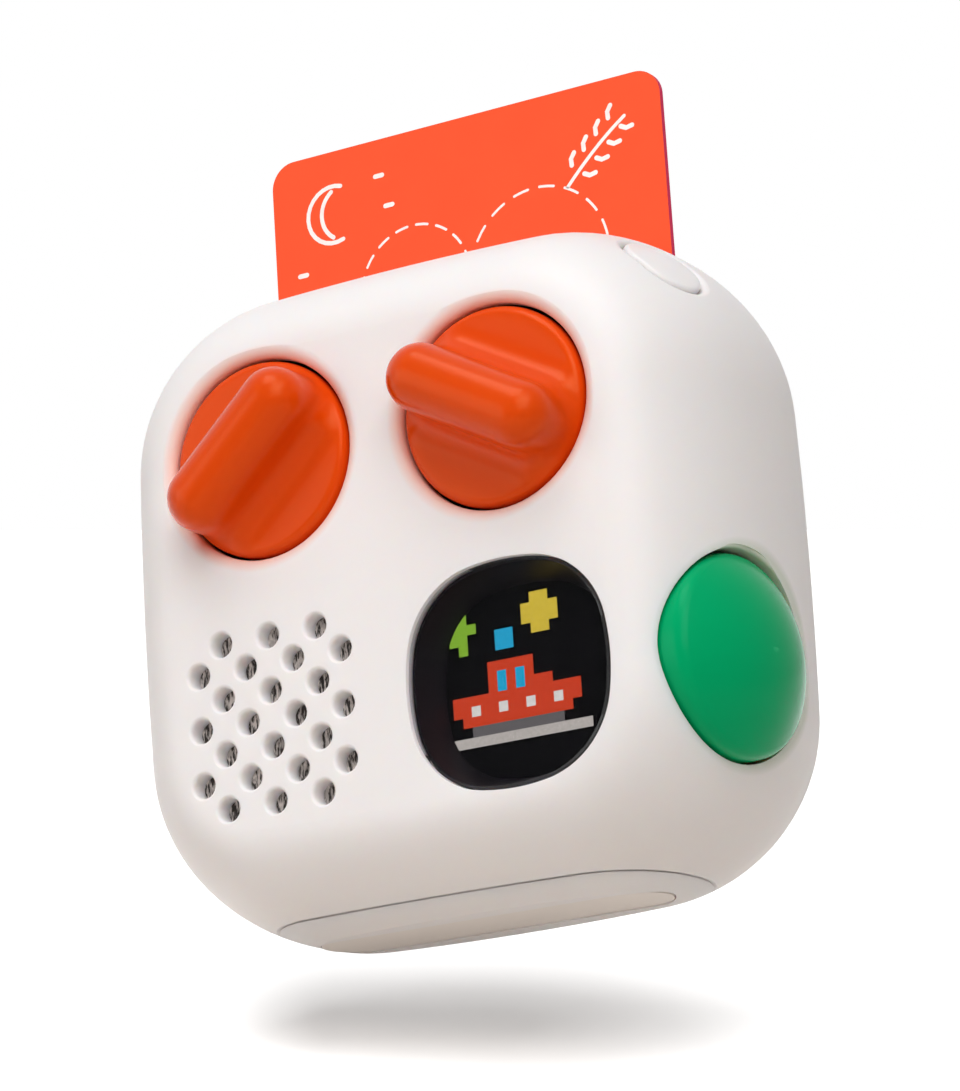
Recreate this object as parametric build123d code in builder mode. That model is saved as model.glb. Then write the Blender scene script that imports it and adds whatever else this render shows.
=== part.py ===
from build123d import *
from math import asin, atan2, copysign, cos, degrees, radians, sin, sqrt
import os

os.makedirs("parts", exist_ok=True)

# An audio story player for children: a soft square case with two turning knobs,
# a pixel screen, a speaker grille, a big side button and a slot for a story card.
# Millimetres. X is to the right, Y to the back, Z up. The origin is on the table,
# under the middle of the case.

# ---------------------------------------------------------------- driving sizes
# case
body_width = 78.4
body_height = 78.2
body_depth = 41.5
corner_radius = 21.9
side_bulge = 0.3            # how far each side bows out past its corners
edge_reach = 11.3           # how far the round edge reaches in over the face
side_band = 1.5             # straight band at mid-depth, all the way round
underside_flat = 0.75       # how much of the round underside is cut flat
wall = 2.3
split_behind = 12.4         # the rear cover starts this far behind mid-depth
seam_width = 0.16
seam_depth = 0.2

# layout of the front, from the middle of the case
column = 15.4               # left and right columns
knob_row = 15.5             # above the middle
window_row = 15.05          # below the middle
button_row = 14.7

# fits
running_gap = 0.35          # round a piece that moves
seat_gap = 0.15             # round a piece that is pushed or glued in
bore_play = 0.05            # shaft in its bush, per side
thread_play = 0.05          # screw in its pilot hole, per side

# knobs and their encoders
knob_radius = 11.5
knob_recess = 0.25          # flange below the face
knob_flange = 2.1
knob_rim_round = 0.9
bar_height = 8.0            # above the face
bar_width = 7.9
bar_end_margin = 0.1        # bar end inside the flange's rounding
bar_foot_round = 3.2
bar_top_round = 3.6
left_bar_angle = 42.0
right_bar_angle = -29.0
hub_radius = 5.6
hub_end = 6.2               # depth of the hub's end behind the face
lip_width = 1.7
lip_depth = 1.1
shaft_radius = 3.0
shaft_start = 1.6           # depth of the shaft's tip behind the face
shaft_flange_radius = 3.8
shaft_flange_thickness = 1.0
encoder_size = 11.7
encoder_height = 6.5
bush_radius = 3.5
bush_length = 2.9
knob_press = 0.5
plunger_radius = 1.8
plunger_length = 1.2
plunger_gap = 0.1
encoder_chamber_radius = 4.2
encoder_front_wall = 1.5

# speaker
grille_rows = 7
grille_half_step = 3.18
grille_hole_radius = 1.4
grille_lip_width = 0.35
grille_lip_depth = 0.5
mesh_radius = 13.2
mesh_thickness = 0.5
gasket_thickness = 0.8
gasket_width = 1.8
speaker_radius = 14.0
speaker_depth = 4.6
speaker_basket_wall = 1.0
cone_thickness = 0.4
cone_drop = 2.2
dust_cap_radius = 4.5
magnet_radius = 7.5
magnet_depth = 3.4
speaker_rib = 1.2
speaker_rib_depth = 4.2

# window, lens and display
window_size = 25.9
window_corner = 10.2
window_bulge = 0.22
window_lip = 0.3
lens_thickness = 1.2
lens_bevel = 0.35
bezel_front_wall = 0.35
bezel_back_wall = 1.9
bezel_depth = 4.0
bezel_flange = 1.4
bezel_flange_thickness = 1.2
display_size = 23.0
display_thickness = 1.8
display_board_width = 26.0
display_board_height = 25.0
display_board_thickness = 1.2
ribbon_width = 10.0
ribbon_thickness = 0.3
ribbon_bend = 1.2
ribbon_reach = 3.4          # how far the ribbon stands off the display's board

# side button
button_before = 7.2         # its middle in front of mid-depth
button_tilt = 9.0           # turned towards the front
button_hole_radius = 11.95
button_lip = 0.35
dome_rise = 3.55            # above the case at its middle
dome_base = 0.9             # depth where the dome meets its skirt
dome_edge_round = 2.0
button_wall = 1.7
skirt_depth = 5.2
button_travel = 1.2
sleeve_depth = 5.6
sleeve_wall = 1.25
hook_from = -75.0
hook_to = 95.0
hook_thickness = 1.2
hook_reach = 1.5
hook_gap = 0.3
button_post_radius = 2.2
button_seat_radius = 6.0
button_seat_depth = 3.5
switch_clearance = 0.3      # left over at full press
side_switch_size = 6.0
side_switch_height = 3.8
side_switch_tip_radius = 1.7
side_switch_tip = 1.2
side_board_depth = 14.0
side_board_width = 12.0
side_board_height = 16.0
side_board_thickness = 1.2
spring_radius = 5.2
spring_wire = 0.35
spring_turns = 5

# power button
power_before = 7.4
power_angle = 45.0
power_length = 10.0
power_width = 8.2
power_gap = 0.3
power_recess = 0.1
power_edge_round = 0.5
power_lip = 0.7
power_travel = 0.6
power_flange = 0.9
power_flange_thickness = 1.0
power_stem_radius = 1.2
power_switch_size = 4.6
power_switch_height = 3.4
power_switch_tip_radius = 1.0
power_switch_tip = 0.8

# story card and its guide
card_width = 53.98
card_length = 85.6
card_thickness = 0.76
card_corner = 3.18
card_behind = 4.2           # middle of the card behind mid-depth
card_stands_out = 20.9      # above the top of the case
slot_width = 2.0
slot_side_gap = 0.5
guide_side_gap = 0.35
guide_face_gap = 0.32
guide_wall = 1.5
guide_floor = 1.8
guide_side = 1.2
guide_top_margin = 0.5      # from the case's inner skin
ear_thickness = 2.0

# boards, battery and ports
board_thickness = 1.6
board_front_before = 4.2    # front face of the main board in front of mid-depth
board_bottom = 1.5          # above the middle
board_edge_gap = 0.7
antenna_thickness = 0.8
antenna_width = 53.0
antenna_height = 40.0
cradle_floor = 1.0
cradle_wall = 1.2
cradle_rim = 4.0
battery_width = 48.0
battery_height = 34.0
battery_thickness = 7.0
port_row_usb = 12.2
port_row_audio = 20.6
usb_recess = 0.5            # mouth behind the case's side
usb_width = 9.0
usb_height = 3.2
usb_length = 7.4
usb_shell = 0.35
usb_tongue = 0.7
jack_width = 6.0
jack_height = 5.0
jack_length = 11.5
jack_bore_radius = 1.8
jack_nose_radius = 2.5
jack_nose = 3.1
jack_recess = 0.9           # nose behind the case's side

# foot and screws
base_height = 1.65
inlay_width = 45.0
inlay_depth = 9.4
inlay_corner = 4.6
inlay_thickness = 0.45
inlay_recess = 0.6
floor_thickness = 3.0
screw_radius = 1.25
screw_head_radius = 2.2
screw_head_height = 1.6
screw_boss_radius = 2.7
small_screw_radius = 1.0
small_screw_head_radius = 1.9
small_screw_head_height = 1.2
small_boss_radius = 2.2
socket_radius = 0.7
socket_depth = 0.8
upper_stack = (31.0, 9.0)   # case screws, from the middle of the case
lower_stack = (9.0, -30.2)
stack_seat = 10.0           # how far behind mid-depth the case screws' heads bear
stack_tip = -1.0             # where they end
stack_boss = 1.2             # solid boss beyond the screw's tip
stack_neck_radius = 2.3      # slim end of the rear cover's tubes
stack_neck_end = 7.2
stack_tube_radius = 3.2
base_screw_x = 17.5
post_upper = (0.0, 27.5)    # main board posts
post_lower = (0.0, 4.4)
post_side = (31.0, 4.0)

# ---------------------------------------------------------------- derived places
mid_z = body_height / 2 - underside_flat
front_y = -body_depth / 2
edge_depth = (body_depth - side_band) / 2
inner_front_y = front_y + wall
inner_back_y = body_depth / 2 - wall
corner_x = body_width / 2 - side_bulge - corner_radius
corner_z = body_height / 2 - side_bulge - corner_radius
board_front_y = -board_front_before
board_back_y = board_front_y + board_thickness
guide_front_y = card_behind - card_thickness / 2 - guide_face_gap - guide_wall
guide_back_y = card_behind + card_thickness / 2 + guide_face_gap + guide_wall
card_top_z = mid_z + body_height / 2 + card_stands_out
card_bottom_z = card_top_z - card_length


def side_arc(half_across, half_along, corner, bulge):
    """Radius of a bowed side that runs smoothly into its two corner arcs."""
    reach = corner + bulge
    along = half_along - bulge - corner
    return (reach**2 + along**2 - corner**2) / (2 * bulge)


def soft_square(width, height, corner, bulge, inset=0.0):
    """Four bowed sides and four corner arcs, tangent all round."""
    half_x, half_y = width / 2, height / 2
    cx, cy = half_x - bulge - corner, half_y - bulge - corner
    side_r = side_arc(half_x, half_y, corner, bulge)
    top_r = side_arc(half_y, half_x, corner, bulge)
    side_half = degrees(atan2(cy, cx - half_x + side_r))
    top_half = degrees(atan2(cx, cy - half_y + top_r))
    turn = 90 - side_half - top_half
    CenterArc((half_x - side_r, 0), side_r - inset, -side_half, 2 * side_half)
    CenterArc((cx, cy), corner - inset, side_half, turn)
    CenterArc((0, half_y - top_r), top_r - inset, 90 - top_half, 2 * top_half)
    CenterArc((-cx, cy), corner - inset, 90 + top_half, turn)
    CenterArc((side_r - half_x, 0), side_r - inset, 180 - side_half, 2 * side_half)
    CenterArc((-cx, -cy), corner - inset, 180 + side_half, turn)
    CenterArc((0, top_r - half_y), top_r - inset, 270 - top_half, 2 * top_half)
    CenterArc((cx, -cy), corner - inset, 270 + top_half, turn)


def body_outline(inset):
    soft_square(body_width, body_height, corner_radius, side_bulge, inset)


def window_outline(inset):
    soft_square(window_size, window_size, window_corner, window_bulge, inset)


def upright(y, x=0.0, z=0.0):
    """A plane parallel to the front, seen from the front, x and z from the middle."""
    return Plane(origin=(x, y, mid_z + z), x_dir=(1, 0, 0), z_dir=(0, -1, 0))


def section_of(face):
    """The plane through a face's axis: its y runs along that axis."""
    return Plane(origin=face.origin, x_dir=face.x_dir, z_dir=-face.y_dir)


def axis_of(face):
    return Axis(face.origin, face.z_dir)


def pillow(inset):
    """The case's whole form, or its form that much further in."""
    half_depth = body_depth / 2 - inset
    core = body_width / 2 - edge_reach
    with BuildPart() as form:
        with BuildSketch(upright(0)):
            with BuildLine():
                body_outline(edge_reach)
            make_face()
        extrude(amount=half_depth, both=True)
        with BuildLine(upright(0)) as rim:
            body_outline(edge_reach)
        with BuildSketch(Plane.XY.offset(mid_z)):
            with BuildLine():
                middle = side_band / 2
                rear = EllipticalCenterArc(
                    (core, middle), edge_reach - inset, edge_depth - inset, 0, arc_size=90
                )
                Line(rear @ 1, (core, -half_depth))
                front = EllipticalCenterArc(
                    (core, -middle), edge_reach - inset, edge_depth - inset, -90, arc_size=90
                )
                Line(front @ 1, rear @ 0)
            make_face()
        sweep(path=rim.wires()[0])
    return form.part


def slab(low, high):
    """A closed box between two corners."""
    size = [b - a for a, b in zip(low, high)]
    with BuildPart() as box:
        with Locations(tuple((a + b) / 2 for a, b in zip(low, high))):
            Box(*size)
    return box.part


def edge_share(y):
    """How much of the round edge's reach is left at a depth: 1 at mid-depth."""
    step = max(abs(y) - side_band / 2, 0) / edge_depth
    return sqrt(1 - step**2)


def drum(face, radius, start, end):
    """A cylinder on a face's axis, between two heights above that face."""
    with BuildPart() as cylinder:
        with BuildSketch(face.offset(start)):
            Circle(radius)
        extrude(amount=end - start)
    return cylinder.part


def flared_hole(face, radius, flare, drop, depth):
    """A cutter for a round hole whose mouth rolls over into the face."""
    above = 2.0
    with BuildPart() as cutter:
        with BuildSketch(section_of(face)):
            with BuildLine():
                bore = Polyline((radius, -drop), (radius, -depth), (0, -depth), (0, above))
                top = Line(bore @ 1, (radius + flare, above))
                down = Line(top @ 1, (radius + flare, 0))
                EllipticalCenterArc((radius + flare, -drop), flare, drop, 90, arc_size=90)
            make_face()
        revolve(axis=axis_of(face))
    return cutter.part


def screw(head_face, radius, length, head_radius, head_height):
    """A pan-head screw; the face is where the head bears, and its axis leads out."""
    with BuildPart() as body:
        with BuildSketch(head_face):
            Circle(radius)
        extrude(amount=-length)
        with BuildSketch(head_face):
            Circle(head_radius)
        extrude(amount=head_height)
        fillet(body.faces().sort_by(axis_of(head_face))[-1].edges(), head_height * 0.4)
        with BuildSketch(head_face.offset(head_height)):
            RegularPolygon(socket_radius * 1.3, 6)
        extrude(amount=-socket_depth, mode=Mode.SUBTRACT)
    return body.part


outer_form = pillow(0)
inner_form = pillow(wall)
trim_form = pillow(wall / 2)       # ribs and bosses end inside the wall

# ---------------------------------------------------------------- faces to build on
knob_faces = {
    "left": Plane(
        origin=(-column, front_y, mid_z + knob_row),
        x_dir=(cos(radians(left_bar_angle)), 0, sin(radians(left_bar_angle))),
        z_dir=(0, -1, 0),
    ),
    "right": Plane(
        origin=(column, front_y, mid_z + knob_row),
        x_dir=(cos(radians(right_bar_angle)), 0, sin(radians(right_bar_angle))),
        z_dir=(0, -1, 0),
    ),
}
speaker_face = upright(front_y, -column, -window_row)
window_face = upright(front_y, column, -window_row)

side_bow = side_arc(body_width / 2, body_height / 2, corner_radius, side_bulge)
button_x = (
    body_width / 2
    - edge_reach * (1 - edge_share(button_before))
    - (side_bow - sqrt(side_bow**2 - button_row**2))
)
tilt = radians(button_tilt)
button_face = Plane(
    origin=(button_x, -button_before, mid_z - button_row),
    x_dir=(sin(tilt), cos(tilt), 0),
    z_dir=(cos(tilt), -sin(tilt), 0),
)

lean = radians(power_angle)
shoulder_reach = corner_radius - edge_reach * (1 - edge_share(power_before))
power_face = Plane(
    origin=(
        corner_x + shoulder_reach * cos(lean),
        -power_before,
        mid_z + corner_z + shoulder_reach * sin(lean),
    ),
    x_dir=(-sin(lean), 0, cos(lean)),
    z_dir=(cos(lean), 0, sin(lean)),
)

stack_places = [(side * x, z) for x, z in (upper_stack, lower_stack) for side in (-1, 1)]
post_places = [post_upper, post_lower, post_side, (-post_side[0], post_side[1])]

tongue_wall = 1.2
tongue_front_y = split_behind - 2.5
guide_ear_back_y = guide_front_y + ear_thickness
guide_bottom_z = card_bottom_z - 0.3 - guide_floor
cradle_back_y = guide_back_y + antenna_thickness + cradle_floor
lens_sink = 0.05
lens_back = lens_sink + lens_thickness
encoder_front = board_front_y - front_y - encoder_height
collar_gap = 0.35
post_end = side_board_depth - side_switch_height - side_switch_tip - button_travel
post_end -= switch_clearance
seat_clear = 0.35
power_stem_end = 9.0
board_screw_length = 6.0
cradle_screw_length = 2.8
lug_row = 22.6
lug_radius = 2.3
floor_top = base_height + floor_thickness
base_boss_height = 8.0
base_plug_height = 1.6
base_plug_radius = 3.6
base_screw_seat = base_height + base_plug_height - 0.75
base_screw_length = 6.0
base_faces = [Plane(origin=(side * base_screw_x, 0, base_height)) for side in (-1, 1)]
connector_height = 1.2
ribbon_low_row = -8.0
ribbon_high_row = 4.0
back_parts = [              # x, z, width, height, thickness on the main board's back
    (-8.0, 16.0, 12.0, 12.0, 1.2),
    (8.5, 16.0, 10.0, 8.0, 1.0),
    (22.0, 13.0, 7.0, 5.0, 1.6),
    (-22.5, 15.0, 5.0, 5.0, 1.0),
    (14.0, 25.5, 14.0, 6.0, 1.0),
    (-14.0, 26.5, 6.0, 3.5, 1.4),
]


def facing_back(y, x, z):
    """A plane parallel to the back, looking out of it."""
    return Plane(origin=(x, y, mid_z + z), x_dir=(-1, 0, 0), z_dir=(0, 1, 0))


def side_reach(before, row):
    """How far out the case's side lies, at a depth and at a height on the corner."""
    shrink = edge_reach * (1 - edge_share(before))
    rise = max(row - corner_z, 0)
    return corner_x + sqrt((corner_radius - shrink) ** 2 - rise**2) + side_bulge * 0.8


usb_before = board_front_before + usb_height / 2
usb_face = Plane(
    origin=(usb_recess - side_reach(usb_before, port_row_usb), -usb_before, mid_z + port_row_usb),
    x_dir=(0, 0, 1),
    z_dir=(-1, 0, 0),
)
jack_before = board_front_before + jack_height / 2
jack_face = Plane(
    origin=(
        jack_recess - side_reach(jack_before, port_row_audio),
        -jack_before,
        mid_z + port_row_audio,
    ),
    x_dir=(0, 0, 1),
    z_dir=(-1, 0, 0),
)


def usb_prism(half_long, half_short, start, end):
    """The rounded oblong of the USB mouth, along the port's axis."""
    with BuildPart() as prism:
        with BuildSketch(usb_face.offset(start)):
            RectangleRounded(2 * half_long, 2 * half_short, half_short * 0.8)
        extrude(amount=end - start)
    return prism.part


def grille_places():
    """Staggered rows of three and four holes, from the middle of the grille."""
    reach = grille_rows // 2
    places = []
    for row in range(-reach, reach + 1):
        holes = reach if (row + reach) % 2 == 0 else reach + 1
        for i in range(holes):
            places.append(((2 * i - holes + 1) * grille_half_step, row * grille_half_step))
    return places


# ---------------------------------------------------------------- shared cutters
def power_prism(grow, start, end):
    """The power button's pill shape, grown by that much, along its own axis."""
    with BuildPart() as prism:
        with BuildSketch(power_face.offset(start)):
            SlotOverall(power_length + 2 * grow, power_width + 2 * grow)
        extrude(amount=end - start)
    return prism.part


def window_prism(inset, start, end):
    """The window's outline, shrunk by that much, between two depths."""
    with BuildPart() as prism:
        with BuildSketch(window_face.offset(-end)):
            with BuildLine():
                window_outline(inset)
            make_face()
        extrude(amount=end - start)
    return prism.part


def button_sector(inner, outer, start, end):
    """A ring on the side button's axis, left open where the screen is."""
    span = outer * 3
    turns = [hook_from, (hook_from + hook_to) / 2, hook_to]
    corners = [(span * cos(radians(t)), span * sin(radians(t))) for t in turns]
    with BuildPart() as ring:
        with BuildSketch(button_face.offset(start)):
            Circle(outer)
            Circle(inner, mode=Mode.SUBTRACT)
            with BuildLine():
                Polyline((0, 0), *corners, close=True)
            make_face(mode=Mode.INTERSECT)
        extrude(amount=end - start)
    return ring.part


# ---------------------------------------------------------------- front shell
# The deep cup that carries everything: grille, window, knob holes, side button
# sleeve, power button hole, card slot and the posts for the boards.
def face_cutters():
    cutters = [
        flared_hole(face, knob_radius + running_gap, lip_width, lip_depth, wall + 2)
        for face in knob_faces.values()
    ]
    for x, z in grille_places():
        face = upright(front_y, x - column, z - window_row)
        hole = flared_hole(
            face, grille_hole_radius, grille_lip_width, grille_lip_depth, wall + 1
        )
        cutters.append(hole)
    cutters.append(window_prism(0, -1, wall + 1))
    return cutters


def side_cutters():
    slot_half = card_width / 2 + slot_side_gap
    slot = slab(
        (-slot_half, card_behind - slot_width / 2, mid_z + body_height / 4),
        (slot_half, card_behind + slot_width / 2, mid_z + body_height),
    )
    button = flared_hole(
        button_face, button_hole_radius, button_lip, button_lip, sleeve_depth + 1.9
    )
    usb = usb_prism(usb_width / 2 + seat_gap, usb_height / 2 + seat_gap, -6, 6)
    jack = drum(jack_face, jack_nose_radius + seat_gap, -6, 6)
    return [slot, button, usb, jack, power_prism(power_gap, -wall - 2, 5)]


def shell_posts():
    posts = []
    for x, z in post_places:
        length = board_front_y - inner_front_y + wall / 2
        posts.append(drum(upright(board_front_y, x, z), small_boss_radius, 0, length))
    for x, z in stack_places:
        length = guide_front_y - stack_tip + stack_boss
        posts.append(drum(upright(guide_front_y, x, z), screw_boss_radius, 0, length))
    return posts


def shell_webs():
    """Webs that tie the case-screw bosses to the sides and to the floor."""
    back, front, half = guide_front_y, stack_tip - stack_boss, 0.8
    webs = []
    for x, z in stack_places[:2]:
        low, high = sorted((x, copysign(body_width / 2, x)))
        place = mid_z + z
        webs.append(slab((low, front, place - half), (high, back, place + half)))
    for x, z in stack_places[2:]:
        webs.append(slab((x - half, front, 0), (x + half, back, mid_z + z)))
    return webs


def speaker_ring():
    bore = speaker_radius + seat_gap
    ring = drum(speaker_face, bore + speaker_rib, -wall - speaker_rib_depth, -wall / 2)
    return ring - drum(speaker_face, bore, -wall - speaker_rib_depth - 1, 0)


def shell_floor():
    """The thick floor that the foot is screwed to, with its two bosses."""
    reach_x, reach_y = body_width / 2 - edge_reach, tongue_front_y - running_gap
    floor = slab((-reach_x, -reach_y, base_height), (reach_x, reach_y, floor_top))
    bosses = [
        drum(face, screw_boss_radius, 0, base_boss_height) for face in base_faces
    ]
    return [floor] + bosses


def pilot_cutters():
    """Pilot holes for the board, case and base screws."""
    holes = []
    for x, z in post_places:
        face = upright(board_front_y, x, z)
        holes.append(drum(face, small_screw_radius + thread_play, 0, board_screw_length))
    for x, z in stack_places:
        face = upright(guide_front_y, x, z)
        length = guide_front_y - stack_tip + 0.4
        holes.append(drum(face, screw_radius + thread_play, 0, length))
    for face in base_faces:
        holes.append(drum(face, screw_radius + thread_play, 0, base_boss_height - 1))
        holes.append(drum(face, base_plug_radius + seat_gap, 0, base_plug_height + 0.1))
    return holes


def seam_ring(low, high):
    """A fine groove round the case between two corners of a box."""
    return slab(low, high) - pillow(seam_depth)


def lies_on_power_mouth(edge):
    """Whether an edge is part of the power button hole's outer mouth."""
    spot = power_face.to_local_coords(edge.center())
    return abs(spot.X) < power_length and abs(spot.Y) < power_width and abs(spot.Z) < wall / 2


far = body_width
split_seam = seam_ring(
    (-far, split_behind - seam_width, -far), (far, split_behind, 2 * far)
)
foot_seam = seam_ring((-far, -far, base_height - seam_width), (far, far, base_height))
shell_adds = [
    solid & trim_form for solid in shell_posts() + shell_webs() + shell_floor()
]
shell_adds.append(speaker_ring() & trim_form)
sleeve = button_sector(
    button_hole_radius, button_hole_radius + sleeve_wall, -sleeve_depth, button_wall
)
shell_adds.append(sleeve & trim_form)
shell_cuts = face_cutters() + side_cutters() + pilot_cutters() + [split_seam]

with BuildPart() as front_shell:
    add(outer_form)
    add(inner_form, mode=Mode.SUBTRACT)
    add(shell_adds)
    with BuildSketch(upright(split_behind)):
        Rectangle(2 * far, 2 * far)
    extrude(amount=-far, mode=Mode.SUBTRACT)
    with BuildSketch(Plane.XY.offset(base_height)):
        Rectangle(2 * far, 2 * far)
    extrude(amount=-far, mode=Mode.SUBTRACT)
    add(shell_cuts, mode=Mode.SUBTRACT)
    mouth = front_shell.edges().filter_by(lies_on_power_mouth)
    fillet(mouth, power_lip)
front_shell.part.label = "front_shell"
export_step(front_shell.part, "parts/front_shell.step")

# ---------------------------------------------------------------- rear cover
# The shallow back, with a tongue that slides into the front shell and four
# tubes that clamp the card guide.
def tube(x, z):
    neck = drum(upright(guide_ear_back_y, x, z), stack_neck_radius, front_y, 0)
    wide = drum(upright(stack_neck_end, x, z), stack_tube_radius, front_y, 0)
    return (neck + wide) & trim_form


def tube_bore(x, z):
    shank = drum(upright(guide_ear_back_y, x, z), screw_radius + 0.2, front_y, 1)
    head = drum(upright(stack_seat, x, z), screw_head_radius + 0.3, front_y, 0)
    return shank + head


tongue = (pillow(wall + 0.1) - pillow(wall + 0.1 + tongue_wall)) & slab(
    (-far, tongue_front_y, -far), (far, split_behind + 0.5, 2 * far)
)
cover_shell = (outer_form - inner_form) & slab(
    (-far, split_behind, -far), (far, far, 2 * far)
)
cover_tubes = [tube(x, z) for x, z in stack_places]
cover_bores = [tube_bore(x, z) for x, z in stack_places]

with BuildPart() as rear_cover:
    add(cover_shell)
    add(tongue)
    add(cover_tubes)
    add(cover_bores, mode=Mode.SUBTRACT)
rear_cover.part.label = "rear_cover"
export_step(rear_cover.part, "parts/rear_cover.step")

# ---------------------------------------------------------------- base plate and inlay
# The flat foot: a plate screwed under the floor, and a slip-stop inlay that
# hides its two screws.
foot_form = (outer_form & slab((-far, -far, 0), (far, far, base_height))) - foot_seam

with BuildPart() as base_plate:
    add(foot_form)
    with BuildSketch(Plane.XY.offset(base_height)):
        with Locations((-base_screw_x, 0), (base_screw_x, 0)):
            Circle(base_plug_radius)
    extrude(amount=base_plug_height)
    with BuildSketch(Plane.XY):
        RectangleRounded(
            inlay_width + 2 * seat_gap, inlay_depth + 2 * seat_gap, inlay_corner
        )
    extrude(amount=inlay_recess, mode=Mode.SUBTRACT)
    with BuildSketch(Plane.XY):
        with Locations((-base_screw_x, 0), (base_screw_x, 0)):
            Circle(screw_head_radius + 0.2)
    extrude(amount=base_screw_seat, mode=Mode.SUBTRACT)
    with BuildSketch(Plane.XY):
        with Locations((-base_screw_x, 0), (base_screw_x, 0)):
            Circle(screw_radius + 0.15)
    extrude(amount=base_height + base_plug_height, mode=Mode.SUBTRACT)
base_plate.part.label = "base_plate"
export_step(base_plate.part, "parts/base_plate.step")

with BuildPart() as base_inlay:
    with BuildSketch(Plane.XY.offset(inlay_recess - inlay_thickness)):
        RectangleRounded(inlay_width, inlay_depth, inlay_corner)
    extrude(amount=inlay_thickness)
base_inlay.part.label = "base_inlay"
export_step(base_inlay.part, "parts/base_inlay.step")

# ---------------------------------------------------------------- screws
base_screw_faces = [
    Plane(origin=(side * base_screw_x, 0, base_screw_seat), x_dir=(1, 0, 0), z_dir=(0, 0, -1))
    for side in (-1, 1)
]
with BuildPart() as base_screws:
    for face in base_screw_faces:
        add(screw(face, screw_radius, base_screw_length, screw_head_radius, screw_head_height))
base_screws.part.label = "base_screws"
export_step(base_screws.part, "parts/base_screws.step")

with BuildPart() as shell_screws:
    for x, z in stack_places:
        face = facing_back(stack_seat, x, z)
        length = stack_seat - stack_tip
        add(screw(face, screw_radius, length, screw_head_radius, screw_head_height))
shell_screws.part.label = "shell_screws"
export_step(shell_screws.part, "parts/shell_screws.step")


def small_screw(face, length):
    return screw(
        face, small_screw_radius, length, small_screw_head_radius, small_screw_head_height
    )


with BuildPart() as board_screws:
    for x, z in post_places:
        length = board_thickness + board_screw_length - 0.6
        add(small_screw(facing_back(board_back_y, x, z), length))
board_screws.part.label = "board_screws"
export_step(board_screws.part, "parts/board_screws.step")

with BuildPart() as cradle_screws:
    for z in (-lug_row, lug_row):
        add(small_screw(facing_back(cradle_back_y, 0, z), cradle_screw_length))
cradle_screws.part.label = "cradle_screws"
export_step(cradle_screws.part, "parts/cradle_screws.step")

# ---------------------------------------------------------------- screen
# A flush lens in the window, a dark frame behind it, the pixel display, its
# board and the ribbon to the main board.
with BuildPart() as screen_lens:
    add(window_prism(seat_gap, lens_sink, lens_back))
    front = screen_lens.faces().sort_by(Axis.Y)[0]
    chamfer(front.edges(), lens_bevel)
screen_lens.part.label = "screen_lens"
export_step(screen_lens.part, "parts/screen_lens.step")

bezel_back = lens_back + bezel_depth
bezel_ring = window_prism(-bezel_flange, wall, wall + bezel_flange_thickness) & inner_form

with BuildPart() as screen_bezel:
    add(window_prism(seat_gap, lens_back, bezel_back))
    add(bezel_ring)
    with BuildSketch(window_face.offset(-lens_back)):
        with BuildLine():
            window_outline(seat_gap + bezel_front_wall)
        make_face()
    with BuildSketch(window_face.offset(-bezel_back)):
        with BuildLine():
            window_outline(seat_gap + bezel_back_wall)
        make_face()
    loft(ruled=True, mode=Mode.SUBTRACT)
screen_bezel.part.label = "screen_bezel"
export_step(screen_bezel.part, "parts/screen_bezel.step")

panel_back = bezel_back + display_thickness
display_back = panel_back + display_board_thickness

with BuildPart() as display_panel:
    with BuildSketch(window_face.offset(-panel_back)):
        RectangleRounded(display_size, display_size, 0.6)
    extrude(amount=display_thickness)
display_panel.part.label = "display_panel"
export_step(display_panel.part, "parts/display_panel.step")

with BuildPart() as display_board:
    with BuildSketch(window_face.offset(-display_back)):
        RectangleRounded(display_board_width, display_board_height, 1.0)
    extrude(amount=display_board_thickness)
display_board.part.label = "display_board"
export_step(display_board.part, "parts/display_board.step")

half_ribbon = ribbon_thickness / 2
ribbon_low = (front_y + display_back + half_ribbon, mid_z + ribbon_low_row)
ribbon_high = (board_front_y - connector_height - half_ribbon, mid_z + ribbon_high_row)
ribbon_turn = ribbon_low[0] + ribbon_reach

with BuildPart() as display_ribbon:
    with BuildSketch(Plane.YZ.offset(column - ribbon_width / 2)):
        with BuildLine():
            FilletPolyline(
                ribbon_low,
                (ribbon_turn, ribbon_low[1]),
                (ribbon_turn, ribbon_high[1]),
                ribbon_high,
                radius=ribbon_bend,
            )
            offset(amount=half_ribbon)
        make_face()
    extrude(amount=ribbon_width)
display_ribbon.part.label = "display_ribbon"
export_step(display_ribbon.part, "parts/display_ribbon.step")

# ---------------------------------------------------------------- speaker
# A dark cloth disc behind the grille, a foam gasket, then the speaker itself.
cloth = drum(speaker_face, mesh_radius, -wall - mesh_thickness, -wall) & pillow(wall + 0.02)
basket_front = wall + mesh_thickness + gasket_thickness
basket_back = basket_front + speaker_depth

with BuildPart() as speaker_mesh:
    add(cloth)
speaker_mesh.part.label = "speaker_mesh"
export_step(speaker_mesh.part, "parts/speaker_mesh.step")

with BuildPart() as speaker_gasket:
    with BuildSketch(speaker_face.offset(-basket_front)):
        Circle(speaker_radius)
        Circle(speaker_radius - gasket_width, mode=Mode.SUBTRACT)
    extrude(amount=gasket_thickness)
speaker_gasket.part.label = "speaker_gasket"
export_step(speaker_gasket.part, "parts/speaker_gasket.step")

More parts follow.
